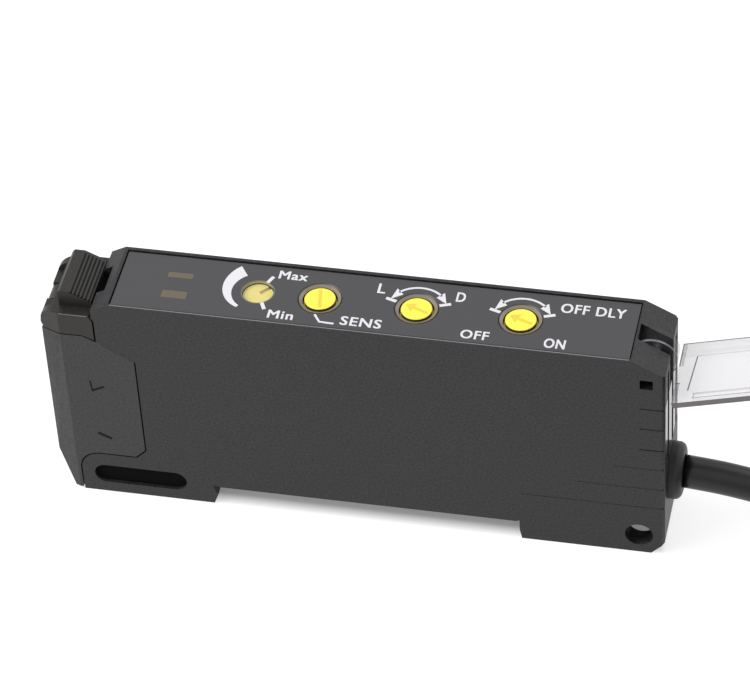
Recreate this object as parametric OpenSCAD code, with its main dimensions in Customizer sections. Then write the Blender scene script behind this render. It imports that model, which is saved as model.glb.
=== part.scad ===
// Slim rail-mounted fibre optic sensor amplifier, in millimetres.
// Origin: middle of the rail seat. +X to the cable, +Y to the far side, +Z up.

/* [Case] */
// Width of the case across the rail
case_width = 10; // [9.6:0.1:12]
// Height of the rim above the rail seat
case_height = 26.85; // [26:0.05:31]
// Distance from the rail centre to the rear face
rear_reach = 34.3; // [34:0.1:38]
// Depth of the lever's bay behind the front face
lever_bay = 6.6; // [6.4:0.1:6.8]
// Thickness of the case walls
wall = 1.0; // [0.8:0.05:1.1]
// Visible seam between the case and the fibre block
seam_gap = 0.16; // [0.05:0.01:0.2]
// Bevel of the rear upright edges
rear_bevel = 0.3; // [0.2:0.05:0.5]
// Width of the grooves on the rear sides
groove_width = 0.2; // [0.2:0.05:0.5]
// Depth of the grooves on the rear sides
groove_depth = 0.18; // [0.1:0.02:0.3]

/* [Rail foot] */
// Width of the gap that takes the rail
rail_gap = 35.4; // [35.2:0.1:36]
// Height of the feet below the rail seat
foot_height = 2.65; // [2.2:0.05:3.5]
// Reach of the hook lip under the rail edge
hook_reach = 0.5; // [0.2:0.05:0.8]
// Wall between the front face and the spring slot
slot_front_wall = 1.45; // [0.8:0.05:2]
// Wall between the spring slot and the hook
slot_hook_wall = 3.1; // [2:0.1:4]
// Height of the spring slot
spring_slot_height = 2.7; // [2:0.1:2.8]
// Diameter of the screw hole in the rear foot
screw_hole_d = 3.2; // [2.6:0.1:3.3]

/* [Top panel] */
// Distance from the front face to the smoked panel
panel_front_inset = 8.45; // [8.2:0.05:8.8]
// Distance from the smoked panel to the rear face
panel_rear_inset = 4.0; // [4:0.1:5]
// Width of the case rim beside the panel
rim_width = 0.6; // [0.4:0.05:0.8]
// Thickness of the smoked panel
panel_t = 1.0; // [0.8:0.05:1.2]
// Clearance around the panel
panel_clearance = 0.15; // [0.05:0.01:0.2]
// Depth of the panel's face below the rim
panel_sink = 0.15; // [0.05:0.05:0.3]
// Diameter of the tool holes in the panel
tool_hole_d = 4.4; // [4.2:0.1:4.8]
// Diameter of the bevel around each tool hole
tool_bevel_d = 5.1; // [4.9:0.1:5.6]

/* [Adjusters] */
// Diameter of the slotted adjusters
knob_d = 3.7; // [3.2:0.1:3.8]
// Diameter of the indicator dial
dial_d = 3.4; // [3:0.1:4]
// Diameter of the adjuster shafts
shaft_d = 1.6; // [1.2:0.1:2]
// Depth of the adjusters below the panel face
knob_sink = 0.6; // [0.4:0.05:0.9]
// Width of the screwdriver slots
slot_width = 0.6; // [0.4:0.05:0.8]
// Depth of the screwdriver slots
slot_depth = 0.35; // [0.2:0.05:0.7]
// Radial clearance of turning shafts
running_fit = 0.05; // [0.02:0.01:0.09]

/* [Fibre block] */
// Distance from the rail centre to the front face
front_reach = 36.4; // [36.2:0.1:37.5]
// Drop from the rim to the fibre block's top
lever_drop = 5.06; // [4.6:0.01:5.4]
// Diameter of the fibre ports
port_d = 2.2; // [1.6:0.1:2.4]
// Height of the upper fibre port
port_in_z = 14.2; // [13:0.05:15]
// Height of the lower fibre port
port_out_z = 6.7; // [6.5:0.05:7.5]
// Travel of the fibre clamp
clamp_travel = 0.5; // [0.3:0.05:0.6]

/* [Lock lever] */
// Gap between the lever and the fibre block
lever_gap = 0.15; // [0.1:0.01:0.25]
// Height of the lever's ledge above the fibre block
lever_ledge = 3.05; // [2.6:0.05:3.2]
// Height of the grip above the ledge
grip_height = 2.2; // [1.8:0.1:2.8]
// Width of the grip
grip_width = 7; // [5:0.1:8]
// Diameter of the lever pin
lever_pin_d = 0.8; // [0.6:0.05:0.9]

/* [Clear cover] */
// Length of the clear cover plate
cover_length = 58; // [50:0.5:58]
// Width of the clear cover plate
cover_width = 9.6; // [8:0.1:9.8]
// Thickness of the cover's frame
cover_t = 0.75; // [0.6:0.05:1]
// Height of the closed cover above the rim
cover_gap = 0.3; // [0.25:0.05:0.5]
// Opening angle shown, from the closed position
cover_angle = 164; // [164:1:164]
// Width of the hinge arm
arm_width = 2.1; // [1.6:0.1:2.4]
// Diameter of the hinge pin
hinge_pin_d = 1.2; // [0.8:0.1:1.4]

/* [Cable] */
// Diameter of the cable
cable_d = 3.8; // [3.8:0.1:3.8]
// Height of the cable above the rail seat
cable_z = 6.0; // [6:0.05:6]
// Diameter of the gland's collar
gland_d = 6.6; // [6:0.1:7]
// How far the collar stands out of the rear face
gland_proud = 1.5; // [1.2:0.1:2.2]
// Diameter of the cable coil at the middle of its turns
coil_d = 38; // [38:1:38]

/* [Hidden] */
$fn = 64;
eps = 0.01;
past = 1;
fixed_fit = 0.02;
slide_fit = 0.1;

// Case levels and places along X
half_w = case_width / 2;
inner_far = half_w - wall;
inner_near = -half_w + wall;
foot_z = -foot_height;
seat_relief = 0.15;
seat_end = rail_gap / 2 - 0.2;
hook_root_x = -rail_gap / 2 - 0.4;
hook_tip_x = hook_root_x + hook_reach;
front_foot_x = -front_reach + 2.8;
rear_foot_bottom = rear_reach - 1.5;
rear_chamfer_z = foot_z + 1.6;
lead_in = 0.25;
panel_front = -front_reach + panel_front_inset;
slope_top_front = panel_front - 0.5;
lever_wall_x = -front_reach + lever_bay;
slope_lip_x = lever_wall_x - 0.4;
slope_lip_z = case_height - 0.95;
lip_low_z = case_height - 1.95;
lip_step_z = case_height - 2.55;
slope_top_rear = rear_reach - 3.7;
slope_low_z = case_height - 1.95;

// Outline shared by the case and the fibre block
block_top = case_height - lever_drop;
seam_top = [lever_wall_x, block_top - 0.78];
seam_shoulder = [-front_reach + 10.75, block_top - 3.18];
seam_low = [-front_reach + 10.8, 4.58];
seam_toe = [-front_reach + 9.55, 3.3];
seam_bend_r = 2.4;
seam_bend = [front_foot_x + seam_bend_r, seam_toe[1] - seam_bend_r];

// Cavity for the circuit
cavity_front = seam_low[0] + wall;
cavity_floor = 1.6;
cavity_step_x = rear_reach - 7.9;
cavity_step_z = 2.6;
panel_top = case_height - panel_sink;
panel_low = panel_top - panel_t;
panel_rear = rear_reach - panel_rear_inset;
panel_half = half_w - rim_width;

// Cover hinge
hinge_x = rear_reach - 1.9;
hinge_drop = 3.05;
hinge_z = case_height - hinge_drop;
cover_level = hinge_drop + cover_gap;
arm_out_r = 2.7;
arm_in_r = 2.05;
hub_r = hinge_pin_d / 2 + 0.55;
slot_half = arm_width / 2 + 0.2;
hinge_room_r = arm_out_r + 0.3;
hinge_solid_x = hinge_x - hinge_room_r - 0.8;
slot_front = slope_top_rear + 0.1;
slot_floor = hinge_z - 4.4;
hinge_solid_z = slot_floor - wall;
plate_rear = -1.65;
tab_rear = -0.75;
riser_front = -1.35;
arm_start = 117;
arm_end = 300;

// Adjuster places along the panel
dial_x = -12.07;
sens_x = -5.0;
mode_x = 5.9;
delay_x = 17.57;
knob_top = panel_top - knob_sink;
knob_low = panel_low - 1.4;
body_top = knob_low - 0.2;
shaft_low = body_top - 3;
bore_low = shaft_low - 0.2;
window_t = 0.3;
dial_top = panel_top - window_t - 0.1;
dial_t = 0.9;
dial_hole_d = dial_d + 0.4;

// Circuit boards
board_near = 2.0;
board_t = 1.2;
board_low = cavity_floor + 0.4;
board_top = panel_low - 2.05;
part_depth = 5;

// Lever pivot
pivot_x = -front_reach + 0.8;
pivot_z = block_top + 1.0;
lever_low = block_top + lever_gap;
lever_corner_r = pivot_z - lever_low;
ledge_z = block_top + lever_ledge;
grip_z = ledge_z + grip_height;
lever_rear = lever_wall_x - 0.35;
grip_rear = slope_lip_x - 0.25;
lug_half = 1.2;
lug_gap = 0.15;
lever_pin_reach = half_w - 1.2;

// Fibre clamp
clamp_x0 = -front_reach + 2.2;
clamp_t = 1.3;
clamp_half = 2.0;
clamp_low = port_out_z - 2.2;
clamp_top = block_top - 0.1;

// Optics
optic_d = 3.0;
optic_front = -front_reach + 7;
optic_rear = seam_low[0] - 0.3;

// Cable path: straight out, down and into the coil's outer turn, then off its top, chosen by hand
surface_z = foot_z;
lay_z = surface_z + cable_d / 2;
tie_gap = 0.15;
tie_t = 0.7;
coil_x = 76;
coil_wide = 4;
coil_high = 4;
coil_y = -coil_d / 2 - (coil_wide - 1) / 2 * cable_d;
coil_low = surface_z + tie_t + tie_gap;
cable_route = [[31.5, 0, cable_z], [36, 0, cable_z], [40, 0, 5.55], [44, 0, 4.8], [48, 0, 3.85],
    [52, 0, 2.75], [56, 0, 1.75], [60, 0, 0.95], [64, 0, 0.4], [68, 0, 0.15], [72, 0, 0.1], [76, 0, 0.1]];
// Last half turn: out by one diameter at the top, then down the coil's outside to the surface
coil_out_r = -coil_y;
coil_top = coil_low + (coil_high - 0.5) * cable_d;
shift_turn = 1 / 7;
function ease(t) = let (u = max(0, min(1, t))) u * u * (3 - 2 * u);
function tail_turn(t) =
    let (r = coil_out_r + 1.02 * cable_d * ease(t / shift_turn), a = 90 - 360 * t)
    [coil_x + r * cos(a), coil_y + r * sin(a),
     coil_top + (lay_z - coil_top) * ease((t - shift_turn) / (0.5 - shift_turn))];
tail_steps = 16;
tail_y = coil_y - coil_out_r - 1.02 * cable_d;
tail_route = concat([for (i = [0:tail_steps]) tail_turn(0.5 * i / tail_steps)],
    [for (x = [74, 72, 69, 66]) [x, tail_y, lay_z]]);
tie_w = 2.5;
tie_turn = 150;
lead_d = 1.2;
lead_length = 24;
lead_strip = 5;

// A side outline carried across the width
module across(y0, y1) {
    translate([0, y1, 0]) rotate([90, 0, 0]) linear_extrude(y1 - y0) children();
}

// A rod along X, Y or Z
module rod_x(x0, x1, y, z, r) {
    translate([x0, y, z]) rotate([0, 90, 0]) cylinder(h = x1 - x0, r = r);
}
module rod_y(x, y0, y1, z, r) {
    translate([x, y0, z]) rotate([-90, 0, 0]) cylinder(h = y1 - y0, r = r);
}
module rod_z(x, y, z0, z1, r) {
    translate([x, y, z0]) cylinder(h = z1 - z0, r = r);
}

// A box given by two corners
module block(a, b) {
    translate(a) cube(b - a);
}

function arc(c, r, a0, a1, n) = [for (i = [0:n]) c + r * [cos(a0 + (a1 - a0) * i / n),
    sin(a0 + (a1 - a0) * i / n)]];

// Side outline of the case, from the top front round to the rear
function case_outline() = concat(
    [[slope_top_front, case_height], [slope_lip_x, slope_lip_z], [slope_lip_x, lip_low_z],
     [lever_wall_x, lip_step_z], seam_top, seam_shoulder, seam_low, seam_toe],
    [for (p = arc(seam_bend, seam_bend_r, 90, 180, 6)) p],
    [[front_foot_x, foot_z], [hook_root_x, foot_z], [hook_tip_x, foot_z / 2],
     [hook_root_x, seat_relief], [-seat_end, seat_relief], [-seat_end, 0], [seat_end, 0],
     [seat_end, seat_relief], [rail_gap / 2, seat_relief], [rail_gap / 2, foot_z / 2],
     [rail_gap / 2 + lead_in, foot_z], [rear_foot_bottom, foot_z], [rear_reach, rear_chamfer_z],
     [rear_reach, slope_low_z], [slope_top_rear, case_height]]);

// Space that the feet keep at full width
module foot_zone() {
    block([-front_reach - past, -half_w - past, foot_z - past],
        [rear_reach + past, half_w + past, seat_relief + eps]);
}

// Bevels on the two rear upright edges
module rear_edges() {
    for (side = [-1, 1]) {
        translate([rear_reach, side * half_w, foot_z - past]) rotate([0, 0, 45])
            translate([-rear_bevel / sqrt(2), -rear_bevel / sqrt(2), 0])
                cube([rear_bevel * sqrt(2), rear_bevel * sqrt(2),
                    case_height + foot_height + 2 * past]);
    }
}

// Thin grooves on the rear sides: length to the rear face, and height
side_grooves = [[2.8, 19.8], [2.8, 16.75], [2.8, 13.55], [5.8, 10.6], [9.8, 7.5], [16.3, 4.5]];
module side_groove_set(side) {
    for (g = side_grooves) {
        translate([rear_reach - g[0], side * half_w - groove_depth, g[1]])
            cube([g[0] + past, 2 * groove_depth, groove_width]);
    }
}

// Upright grooves on the rear face, above the gland
rear_groove_y = [-2.5, 0.6, 3.3];
rear_groove_half = 0.55;
rear_groove_depth = 0.5;
module rear_groove_set() {
    for (y = rear_groove_y) {
        block([rear_reach - rear_groove_depth, y - rear_groove_half, cable_z + gland_d / 2 + 0.8],
            [rear_reach + past, y + rear_groove_half, slope_low_z - 1.2]);
    }
}

// Room that the hinge arm sweeps
module hinge_room() {
    rod_y(hinge_x, -slot_half, slot_half, hinge_z, hinge_room_r);
    block([slot_front, -slot_half, hinge_z], [rear_reach + past, slot_half, case_height + past]);
    block([hinge_x, -slot_half, slot_floor], [rear_reach + past, slot_half, hinge_z + eps]);
}

// Side outline of the hollow that holds the circuit
module cavity_outline() {
    polygon([[cavity_front, cavity_floor], [cavity_step_x, cavity_floor],
        [cavity_step_x, cavity_step_z], [rear_reach - wall, cavity_step_z],
        [rear_reach - wall, hinge_solid_z], [hinge_solid_x, hinge_solid_z],
        [hinge_solid_x, panel_low - eps], [hinge_solid_x, case_height + past],
        [cavity_front, case_height + past]]);
}

module panel_seat() {
    block([panel_front - panel_clearance, -panel_half - panel_clearance, panel_low],
        [panel_rear + panel_clearance, panel_half + panel_clearance, case_height + past]);
}

module main_case() {
    color([0.16, 0.16, 0.165]) difference() {
        union() {
            across(-half_w, inner_far) polygon(case_outline());
            intersection() {
                across(inner_far - eps, half_w) polygon(case_outline());
                foot_zone();
            }
        }
        across(inner_near, half_w + past) intersection() {
            cavity_outline();
            translate([-front_reach, cavity_floor])
                square([front_reach + rear_reach, panel_low - cavity_floor]);
        }
        panel_seat();
        rear_edges();
        side_groove_set(-1);
        rear_groove_set();
        hinge_room();
        rod_y(hinge_x, -hinge_pin_reach - fixed_fit, half_w, hinge_z, hinge_pin_d / 2 + fixed_fit);
        hinge_window();
        nail_pocket();
        spring_slot();
        rear_foot_hollow();
        screw_hole();
        rod_x(rear_reach - wall - past, rear_reach + past, 0, cable_z, gland_neck_r + fixed_fit);
        for (z = [port_in_z, port_out_z]) {
            for (y = [-lead_pitch / 2, lead_pitch / 2]) {
                rod_x(seam_low[0] - past, cavity_front + past, y, z, optic_lead_d / 2 + slide_fit);
            }
        }
    }
    // Posts that carry the circuit board
    color([0.16, 0.16, 0.165]) for (p = board_posts) {
        rod_y(p[0], inner_near - eps, board_near, p[1], post_d / 2);
    }
}

// Hinge pin reach to each side, and the window that shows its end
hinge_pin_reach = half_w - 1.1;
pin_cap = 0.4;
window_l = 1.45;
window_low = hinge_z - 0.9;
window_top = hinge_z + 0.4;
module hinge_window() {
    block([hinge_x - 0.9, -half_w - past, window_low],
        [hinge_x - 0.9 + window_l, -hinge_pin_reach + 0.3, window_top]);
}

// Finger-nail pocket in the front slope, beside the grip
nail_half = 2;
module nail_pocket() {
    block([slope_lip_x - past, -nail_half, lip_low_z - 0.6],
        [slope_top_front - 0.8, nail_half, case_height + past]);
}

// Long slot with round ends that makes the front foot springy
spring_slot_z = 0.17;
module spring_slot() {
    end_r = spring_slot_height / 2;
    front_x = front_foot_x + slot_front_wall + end_r;
    rear_x = hook_root_x - slot_hook_wall - end_r;
    for (x = [front_x, rear_x]) {
        rod_y(x, -half_w - past, half_w + past, spring_slot_z, end_r);
    }
    block([front_x, -half_w - past, spring_slot_z - end_r],
        [rear_x, half_w + past, spring_slot_z + end_r]);
}

// Hollow under the rear foot, around the screw hole
screw_x = rear_reach - 2.9;
screw_z = foot_z + 2.72;
foot_hollow_half = 2.8;
module screw_hole() {
    rod_y(screw_x, -half_w - past, half_w + past, screw_z, screw_hole_d / 2);
}
module rear_foot_hollow() {
    block([cavity_step_x + wall, -foot_hollow_half, foot_z - past],
        [rear_reach - wall - 0.2, foot_hollow_half, cavity_step_z - wall]);
}

post_d = 2.2;
board_posts = [[cavity_front + 5, 6], [-2, 15], [cavity_step_x - 4.5, 6]];
optic_lead_d = 0.5;
lead_pitch = 1.27;
gland_neck_r = 2.9;

// Far wall of the case, with the ribs that hold the circuit board
module side_cover() {
    color([0.17, 0.17, 0.175]) difference() {
        across(inner_far, half_w) polygon(case_outline());
        foot_zone();
        panel_seat();
        rear_edges();
        side_groove_set(1);
        rod_y(hinge_x, inner_near, half_w - pin_cap, hinge_z, hinge_pin_d / 2 + fixed_fit);
        spring_slot();
        screw_hole();
    }
    color([0.17, 0.17, 0.175]) for (p = board_posts) {
        rod_y(p[0], board_near + board_t, inner_far + eps, p[1], post_d / 2);
    }
}

module top_panel() {
    color([0.3, 0.3, 0.31]) difference() {
        block([panel_front, -panel_half, panel_low], [panel_rear, panel_half, panel_top]);
        for (x = [sens_x, mode_x, delay_x]) {
            rod_z(x, 0, panel_low - past, panel_top + past, tool_hole_d / 2);
            translate([x, 0, panel_top - (tool_bevel_d - tool_hole_d) / 2])
                cylinder(h = (tool_bevel_d - tool_hole_d) / 2 + eps, d1 = tool_hole_d,
                    d2 = tool_bevel_d + 2 * eps);
        }
        rod_z(dial_x, 0, panel_low - past, panel_top + past, dial_hole_d / 2);
        guide_window(stability_y0, stability_y1);
        guide_window(output_y0, output_y1);
    }
}
// Opening in the panel for the end of a light guide
module guide_window(y0, y1) {
    block([lamp_x - guide_l / 2 - fixed_fit, y0 - fixed_fit, panel_low - past],
        [lamp_x + guide_l / 2 + fixed_fit, y1 + fixed_fit, panel_top + past]);
}
// Clear disc let into the panel over the indicator dial
module dial_window() {
    color([0.7, 0.7, 0.7, 0.4])
        rod_z(dial_x, 0, panel_top - window_t, panel_top, dial_hole_d / 2 - fixed_fit);
}

// Front bevels of the fibre block and of the lever above it
bevel_x = 2.3;
bevel_y = 0.85;
module front_plan() {
    polygon([[-front_reach - 0.5, -half_w + bevel_y], [-front_reach - 0.5, half_w - bevel_y],
        [-front_reach, half_w - bevel_y], [-front_reach + bevel_x, half_w], [0, half_w], [0, -half_w],
        [-front_reach + bevel_x, -half_w], [-front_reach, -half_w + bevel_y]]);
}
module front_column() {
    translate([0, 0, foot_z - past])
        linear_extrude(case_height + grip_height + foot_height + 4 * past) front_plan();
}

// Side outline of the fibre block; it keeps the seam to the case
module block_outline() {
    polygon(concat(
        [[-front_reach, block_top], [seam_top[0] - 1.7, block_top], seam_top,
         seam_shoulder - [seam_gap, 0], seam_low + [-seam_gap, seam_gap / 2],
         seam_toe + [-seam_gap / 2, seam_gap]],
        [for (p = arc(seam_bend, seam_bend_r + seam_gap, 90, 180, 6)) p],
        [[front_foot_x - seam_gap, foot_z + 0.25], [-front_reach + 1.7, foot_z + 0.25],
         [-front_reach, foot_z + 5.4]]));
}

// Engraved marks beside the fibre ports: an open corner for the one, a slanted stroke for the other
mark_x = -front_reach + 5.2;
mark_width = 0.17;
module engrave(z, from, to) {
    along = unit(to - from);
    side = [-along[1], along[0]] * mark_width / 2;
    translate([mark_x, -half_w, z]) rotate([90, 0, 0]) translate([0, 0, -groove_depth])
        linear_extrude(2 * groove_depth) polygon([from - side, to - side, to + side, from + side]);
}
module corner_mark(z) {
    engrave(z, [-0.08, 0.8], [0.07, -0.78]);
    engrave(z, [0.0, -0.78], [1.5, 0.04]);
}
module stroke_mark(z) {
    engrave(z, [0.15, 0.03], [1.6, -0.67]);
}

module front_block() {
    color([0.18, 0.18, 0.185]) difference() {
        union() {
            intersection() {
                across(-half_w, half_w) block_outline();
                front_column();
            }
            rod_y(pivot_x, -lug_half, lug_half, pivot_z, lever_corner_r);
            block([pivot_x - lever_corner_r, -lug_half, block_top - past],
                [pivot_x + lever_corner_r, lug_half, pivot_z]);
        }
        rod_y(pivot_x, -half_w, half_w, pivot_z, lever_pin_d / 2 + fixed_fit);
        for (z = [port_in_z, port_out_z]) {
            rod_x(-front_reach - past, optic_front + past, 0, z, port_d / 2);
            rod_x(optic_front, 0, 0, z, optic_d / 2 + running_fit);
        }
        block([clamp_x0 - slide_fit, -clamp_half - slide_fit, clamp_low - 0.2],
            [clamp_x0 + clamp_t + slide_fit, clamp_half + slide_fit, block_top + past]);
        corner_mark(port_in_z);
        stroke_mark(port_out_z);
    }
}

// Side outline of the lever's base: rounded about the pivot so that it clears the block
ledge_round = 1.6;
module lever_outline() {
    polygon(concat(
        [for (p = arc([pivot_x, pivot_z], lever_corner_r, 180, 270, 8)) p],
        [[seam_top[0] - 1.7, lever_low], [lever_rear, lever_low - 0.56],
         [lever_rear, lip_step_z - 0.1], [slope_lip_x - 0.3, lip_low_z - 0.1], [slope_lip_x - 0.4, ledge_z],
         [-front_reach + ledge_round, ledge_z]],
        [for (p = arc([-front_reach + ledge_round, ledge_z - ledge_round], ledge_round, 100, 180, 8)) p]));
}

// Side outline of the grip: level top, then a slope that the grooves cut
grip_front = -front_reach + 2.1;
grip_break = grip_front + 1.45;
grip_fall = 1.15;
rib_count = 6;
rib_groove = 0.2;
rib_end = 0.4;
module grip_outline() {
    polygon([[grip_front + 0.1, ledge_z - 0.3], [grip_front, grip_z - 0.3], [grip_front + 0.3, grip_z],
        [grip_break, grip_z], [grip_rear, grip_z - grip_fall], [grip_rear, ledge_z - 0.3]]);
}
module rib_grooves() {
    slope = [grip_rear - grip_break, -grip_fall];
    for (i = [0:rib_count - 1]) {
        translate([grip_break, grip_z] + slope * (i + 0.5) / rib_count)
            rotate(-atan(grip_fall / slope[0])) square([rib_groove, 2 * rib_groove], center = true);
    }
}

module lock_lever() {
    color([0.2, 0.19, 0.18]) difference() {
        union() {
            intersection() {
                across(-half_w, half_w) lever_outline();
                front_column();
            }
            across(-grip_width / 2, grip_width / 2) grip_outline();
        }
        across(-grip_width / 2 - past, grip_width / 2 - rib_end) rib_grooves();
        rod_y(pivot_x, -lever_pin_reach - fixed_fit, lever_pin_reach + fixed_fit, pivot_z,
            lever_pin_d / 2 + running_fit);
        block([-front_reach - past, -lug_half - lug_gap, lever_low - past],
            [pivot_x + lever_corner_r + 0.25, lug_half + lug_gap, pivot_z + lever_corner_r + 0.25]);
        block([-front_reach - past, -grip_width / 2, pivot_z + lever_corner_r - eps],
            [-front_reach + 1.2, grip_width / 2, ledge_z + past]);
    }
}

module lever_pin() {
    color([0.7, 0.7, 0.72]) rod_y(pivot_x, -lever_pin_reach, lever_pin_reach, pivot_z, lever_pin_d / 2);
}

// Slide with a window for each fibre; the window's top edge presses the fibre
module fibre_clamp() {
    color([0.85, 0.85, 0.82]) difference() {
        block([clamp_x0, -clamp_half, clamp_low + 0.1], [clamp_x0 + clamp_t, clamp_half, clamp_top]);
        for (z = [port_in_z, port_out_z]) {
            block([clamp_x0 - past, -port_d / 2 - 0.1, z - port_d / 2 - clamp_travel - 0.1],
                [clamp_x0 + clamp_t + past, port_d / 2 + 0.1, z + port_d / 2 + 0.05]);
        }
    }
}

// Round optical device with two leads, behind a fibre port
module optic(z) {
    rod_x(optic_front + optic_d / 4, optic_rear, 0, z, optic_d / 2);
    intersection() {
        translate([optic_front + optic_d / 2 + 0.1, 0, z]) sphere(d = optic_d);
        rod_x(optic_front, optic_rear, 0, z, optic_d / 2);
    }
    for (y = [-lead_pitch / 2, lead_pitch / 2]) {
        rod_x(optic_rear - eps, cavity_front, y, z, optic_lead_d / 2);
    }
}
module emitter_led() {
    color([0.85, 0.25, 0.2]) optic(port_out_z);
}
module receiver_photodiode() {
    color([0.25, 0.25, 0.3]) optic(port_in_z);
}

module optics_board() {
    color([0.1, 0.35, 0.2])
        block([cavity_front, inner_near + 0.3, port_out_z - 3],
            [cavity_front + 0.8, board_near, port_in_z + 3]);
}

module circuit_board() {
    color([0.1, 0.35, 0.2])
        block([cavity_front + 0.1, board_near, board_low],
            [cavity_step_x - 0.3, board_near + board_t, board_top]);
}

// Flat chip on the near face of the circuit board
module chip(x, z, l, h, t) {
    block([x - l / 2, board_near - t, z - h / 2], [x + l / 2, board_near, z + h / 2]);
}
module controller_chip() {
    color([0.1, 0.1, 0.1]) chip(8, 11, 7, 7, 1.2);
}
module amplifier_chip() {
    color([0.1, 0.1, 0.1]) chip(-12, 10, 5, 4, 1.4);
}
module output_transistor() {
    color([0.1, 0.1, 0.1]) chip(cavity_step_x - 8.5, 13, 3, 2.6, 1.3);
}
module cable_header() {
    color([0.9, 0.9, 0.86]) chip(cavity_step_x - 4.5, 9.5, 3, 4.2, 4.5);
}

// Body under one or more adjusters, with blind bores for the shafts
trimmer_depth = 7.45;
trimmer_edge = 2.8;
switch_depth = 6.45;
switch_edge = 3.2;
module adjuster_body(shafts, edge, depth) {
    difference() {
        block([min(shafts) - edge, board_near - part_depth, body_top - depth],
            [max(shafts) + edge, board_near, body_top]);
        for (x = shafts) {
            rod_z(x, 0, bore_low, body_top + past, shaft_d / 2 + running_fit);
        }
    }
}
module sensitivity_trimmer() {
    color([0.2, 0.3, 0.6]) adjuster_body([dial_x, sens_x], trimmer_edge, trimmer_depth);
}
module mode_switch() {
    color([0.15, 0.15, 0.16]) adjuster_body([mode_x], switch_edge, switch_depth);
}
module delay_switch() {
    color([0.15, 0.15, 0.16]) adjuster_body([delay_x], switch_edge, switch_depth);
}

// Slotted adjuster on its shaft; the slot is turned to its rest mark
module adjuster(x, turn) {
    difference() {
        union() {
            rod_z(x, 0, knob_low, knob_top, knob_d / 2);
            rod_z(x, 0, shaft_low, knob_low + eps, shaft_d / 2);
        }
        translate([x, 0, 0]) rotate([0, 0, turn]) children();
    }
}
module plain_slot() {
    block([-knob_d / 2 + 0.35, -slot_width / 2, knob_top - slot_depth],
        [knob_d / 2 - 0.35, slot_width / 2, knob_top + past]);
}
// Arrow recess: a slot with a pointed head
module arrow_slot() {
    plain_slot();
    translate([0, 0, knob_top - slot_depth]) linear_extrude(slot_depth + past)
        polygon([[knob_d / 2 - 0.3, 0], [0.3, 0.85], [0.3, -0.85]]);
}
rest_mark = 158;
sens_mark = 86;
dial_mark = 50;
module sensitivity_screw() {
    color([0.98, 0.85, 0.1]) adjuster(sens_x, sens_mark) plain_slot();
}
module mode_knob() {
    color([0.98, 0.85, 0.1]) adjuster(mode_x, rest_mark) arrow_slot();
}
module delay_knob() {
    color([0.98, 0.85, 0.1]) adjuster(delay_x, rest_mark) arrow_slot();
}

// Flat dial with a pointer groove, turned by the trimmer's gears
module indicator_dial() {
    color([0.9, 0.8, 0.2]) difference() {
        union() {
            rod_z(dial_x, 0, dial_top - dial_t, dial_top, dial_d / 2);
            rod_z(dial_x, 0, shaft_low, dial_top - dial_t + eps, shaft_d / 2);
        }
        translate([dial_x, 0, dial_top]) rotate([0, 0, dial_mark])
            block([0.3, -0.25, -0.3], [dial_d / 2 + past, 0.25, past]);
    }
}

// Indicator lamps on the board and the guides that lead their light to the panel
lamp_x = panel_front + 6.7;
lamp_t = 0.8;
stability_z = board_top - 2.6;
output_z = board_top - 6.1;
guide_l = 2.9;
guide_half = 0.6;
stability_y0 = 0.95;
stability_y1 = 1.8;
output_y0 = -2.4;
output_y1 = -1.2;
module lamp(z) {
    chip(lamp_x, z, 1.6, 0.9, lamp_t);
}
module stability_led() {
    color([0.4, 0.8, 0.4]) lamp(stability_z);
}
module output_led() {
    color([0.9, 0.5, 0.2]) lamp(output_z);
}
// Upright bar up to the panel's face, with a foot that reaches to its lamp
module light_guide(z, y0, y1) {
    block([lamp_x - guide_l / 2, y0, z + guide_half - eps], [lamp_x + guide_l / 2, y1, panel_top]);
    block([lamp_x - guide_l / 2, min(y0, board_near - lamp_t - guide_half), z - guide_half],
        [lamp_x + guide_l / 2, board_near - lamp_t, z + guide_half]);
}
module stability_light_guide() {
    color([0.75, 0.65, 0.45]) light_guide(stability_z, stability_y0, stability_y1);
}
module output_light_guide() {
    color([0.75, 0.65, 0.45]) light_guide(output_z, output_y0, output_y1);
}

module hinge_pin() {
    color([0.7, 0.7, 0.72]) rod_y(hinge_x, -hinge_pin_reach, hinge_pin_reach, hinge_z, hinge_pin_d / 2);
}

// Clear cover, drawn closed about its hinge axis and turned to its open place
cover_frame = 1.4;
cover_frame_end = 2.2;
cover_recess = 0.3;
cover_tip = 3;
module protective_cover() {
    color([0.9, 0.9, 0.95, 0.5]) translate([hinge_x, 0, hinge_z]) rotate([0, cover_angle, 0]) difference() {
        union() {
            block([plate_rear - cover_length, -cover_width / 2, cover_level],
                [plate_rear, cover_width / 2, cover_level + cover_t]);
            block([plate_rear - eps, -arm_width / 2, cover_level],
                [tab_rear, arm_width / 2, cover_level + cover_t]);
            block([riser_front, -arm_width / 2, arm_in_r * sin(arm_start)],
                [tab_rear, arm_width / 2, cover_level + eps]);
            across(-arm_width / 2, arm_width / 2) cover_arm();
            rod_y(0, -arm_width / 2, arm_width / 2, 0, hub_r);
        }
        rod_y(0, -arm_width, arm_width, 0, hinge_pin_d / 2 + running_fit);
        block([plate_rear - cover_length + cover_tip, -cover_width / 2 + cover_frame, cover_level - past],
            [plate_rear - cover_frame_end, cover_width / 2 - cover_frame, cover_level + cover_recess]);
    }
}
// Hooked arm about the hinge axis, with the spoke to its hub
module cover_arm() {
    polygon(concat(arc([0, 0], arm_out_r, arm_start, arm_end, 24),
        arc([0, 0], arm_in_r, arm_end, arm_start, 24)));
    rotate(arm_end - 8) translate([hub_r - 0.2, -0.35]) square([arm_in_r - hub_r + 0.5, 0.7]);
}

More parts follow.
